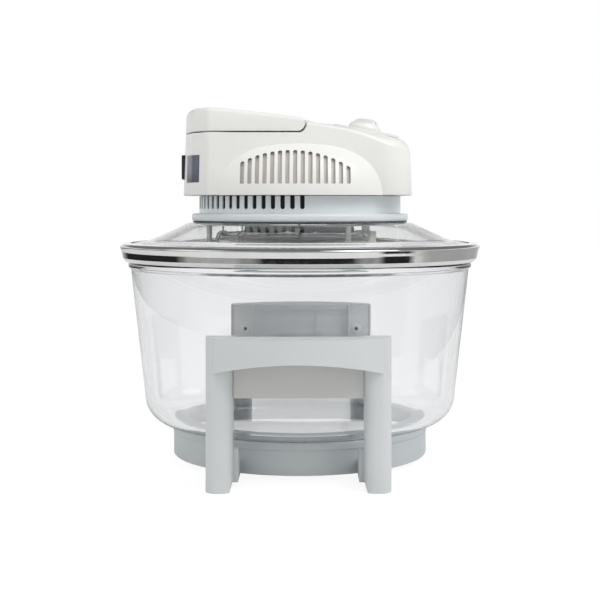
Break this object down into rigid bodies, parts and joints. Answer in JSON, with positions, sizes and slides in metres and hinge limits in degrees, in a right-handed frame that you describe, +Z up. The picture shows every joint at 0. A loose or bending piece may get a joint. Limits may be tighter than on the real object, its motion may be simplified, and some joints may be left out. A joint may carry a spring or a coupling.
{
  "type": "countertop convection oven",
  "caption": "Glass-bowl countertop oven: lift-off glass lid with a motor head, ring lamp and fan over a round glass bowl in a handled stand.",
  "frame": {"origin": "on the bowl's axis at the height of the surface that the legs stand on", "axes": "+Z up; +X towards the front with the sloping control panel; +Y towards the left stand handle"},
  "size_m": [0.3412, 0.38, 0.326],
  "materials": {
    "ivory_plastic": "moulded, satin",
    "grey_plastic": "moulded, satin",
    "warm_grey_plastic": "moulded, matt",
    "clear_glass": "pressed, fire polished",
    "lamp_glass": "clear quartz tube",
    "polished_steel": "mirror polished",
    "plain_steel": "drawn and pressed, plain",
    "dark_steel": "blackened by heat and oil",
    "screw_steel": "zinc plated",
    "black_plastic": "moulded, matt",
    "gasket_rubber": "moulded silicone",
    "brass": "turned, plain",
    "copper": "drawn copper capsule",
    "lamp_ceramic": "unglazed",
    "green_lens": "moulded, translucent",
    "amber_lens": "moulded, translucent"
  },
  "bodies": {
    "stand": {"base_ring": "grey_plastic", "handle_shell_left": "grey_plastic", "handle_shell_right": "grey_plastic", "handle_plate_left": "warm_grey_plastic", "handle_plate_right": "warm_grey_plastic", "stand_screw_left_front": "screw_steel", "stand_screw_left_rear": "screw_steel", "stand_screw_right_front": "screw_steel", "stand_screw_right_rear": "screw_steel", "foot_screw_left_front": "screw_steel", "foot_screw_left_rear": "screw_steel", "foot_screw_right_front": "screw_steel", "foot_screw_right_rear": "screw_steel"},
    "bowl": {"glass_bowl": "clear_glass"},
    "lid": {"lid_glass": "clear_glass", "rim_band": "polished_steel", "flange_gasket": "gasket_rubber", "lid_collar": "grey_plastic", "head_housing": "ivory_plastic", "handle_pin_left": "plain_steel", "handle_pin_right": "plain_steel", "control_panel": "ivory_plastic", "power_lamp": "green_lens", "heat_lamp": "amber_lens", "timer_body": "plain_steel", "thermostat_body": "plain_steel", "power_inlet": "black_plastic", "inlet_pin_earth": "brass", "inlet_pin_live": "brass", "inlet_pin_neutral": "brass", "motor": "dark_steel", "motor_bracket": "plain_steel", "heat_plate": "plain_steel", "halogen_lamp": "lamp_glass", "lamp_cap_left": "lamp_ceramic", "lamp_cap_right": "lamp_ceramic", "lamp_clip_left": "plain_steel", "lamp_clip_rear": "plain_steel", "lamp_clip_right": "plain_steel", "guard_post_left": "plain_steel", "guard_post_rear": "plain_steel", "guard_post_right": "plain_steel", "wire_guard": "plain_steel", "thermostat_probe": "copper", "safety_switch": "black_plastic"},
    "carry_handle": {"carry_handle": "ivory_plastic"},
    "timer_knob": {"timer_knob": "ivory_plastic", "timer_shaft": "brass"},
    "thermostat_knob": {"thermostat_knob": "ivory_plastic", "thermostat_shaft": "brass"},
    "rotor": {"motor_shaft": "plain_steel", "cooling_fan": "black_plastic", "convection_fan": "dark_steel", "fan_nut": "plain_steel"},
    "plunger": {"switch_plunger": "black_plastic"}
  },
  "joints": [
    {"name": "bowl_lift", "type": "slide", "parent": "stand", "child": "bowl", "axis": [0, 0, 1], "range_m": [0, 0.16]},
    {"name": "lid_lift", "type": "slide", "parent": "bowl", "child": "lid", "axis": [0, 0, 1], "range_m": [0, 0.12]},
    {"name": "handle_hinge", "type": "hinge", "parent": "lid", "child": "carry_handle", "pos_m": [-0.002, 0, 0.3106], "axis": [0, 1, 0], "range_deg": [0, 90]},
    {"name": "timer_turn", "type": "hinge", "parent": "lid", "child": "timer_knob", "pos_m": [0.06, 0.028, 0.3052], "axis": [0.1836, 0, 0.983], "range_deg": [-300, 0]},
    {"name": "thermostat_turn", "type": "hinge", "parent": "lid", "child": "thermostat_knob", "pos_m": [0.06, -0.028, 0.3052], "axis": [0.1836, 0, 0.983], "range_deg": [-270, 0]},
    {"name": "fan_spin", "type": "hinge", "parent": "lid", "child": "rotor", "pos_m": [0, 0, 0.24], "axis": [0, 0, 1], "continuous": true},
    {"name": "switch_press", "type": "slide", "parent": "lid", "child": "plunger", "axis": [0, 0, 1], "range_m": [0, 0.002]}
  ],
  "couplings": [
    {"joint": "switch_press", "follows": "handle_hinge", "m_per_rad": 0.0012732}
  ]
}
